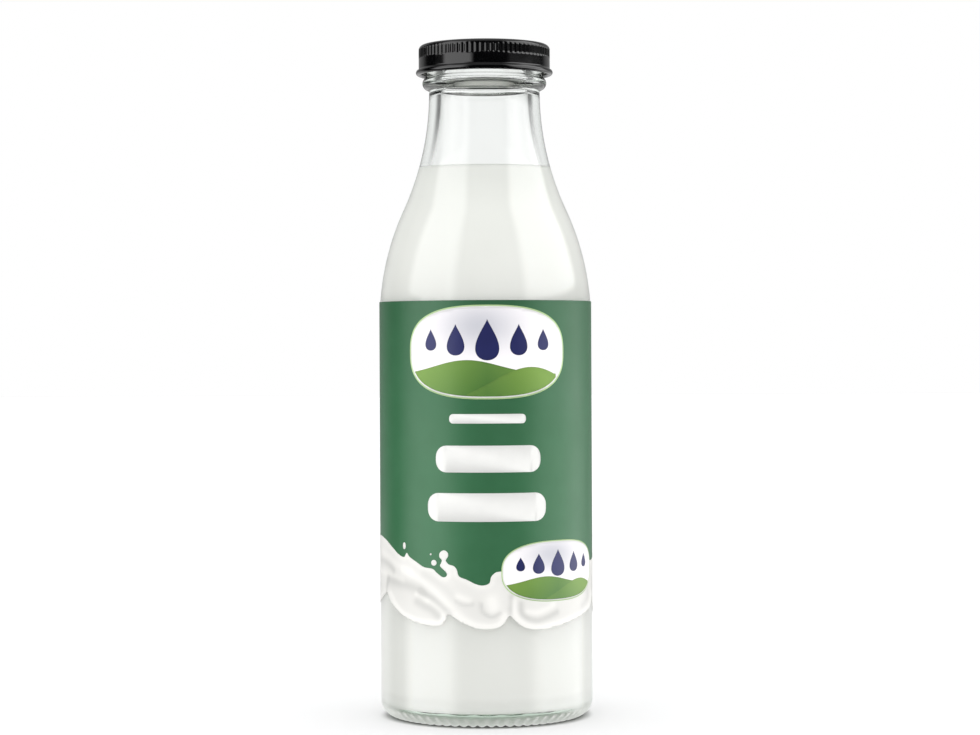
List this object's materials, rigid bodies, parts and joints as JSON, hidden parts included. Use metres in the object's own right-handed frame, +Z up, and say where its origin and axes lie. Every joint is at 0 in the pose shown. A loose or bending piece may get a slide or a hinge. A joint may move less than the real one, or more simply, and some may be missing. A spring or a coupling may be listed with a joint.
{
  "type": "glass bottle of milk with a twist-off cap",
  "caption": "Round clear glass bottle filled with milk to the foot of its neck, closed by a black lug cap and wrapped in a green label; stands on its base.",
  "frame": {"origin": "middle of the ring that the bottle stands on, at the bottle's lowest point", "axes": "+Z up along the bottle's axis from base to cap; -Y is the side that carries the large emblem; +X is to the right of someone who faces it"},
  "size_m": [0.0792, 0.0792, 0.2487],
  "materials": {
    "glass": "clear polished flint glass with a faint green tint in its thick base",
    "milk": "opaque warm white milk, smooth and slightly translucent",
    "cap_lacquer": "gloss black lacquer on drawn tinplate",
    "cap_lining": "satin pale coating inside the cap",
    "print_green": "satin printed film, deep leaf green",
    "print_white": "satin printed film, warm white",
    "print_lime": "satin printed film, bright leaf green",
    "print_blue": "satin printed film, deep blue"
  },
  "bodies": {
    "root": {"bottle": "glass", "milk": "milk", "cap": "cap_lacquer", "label": "print_green"}
  },
  "joints": []
}
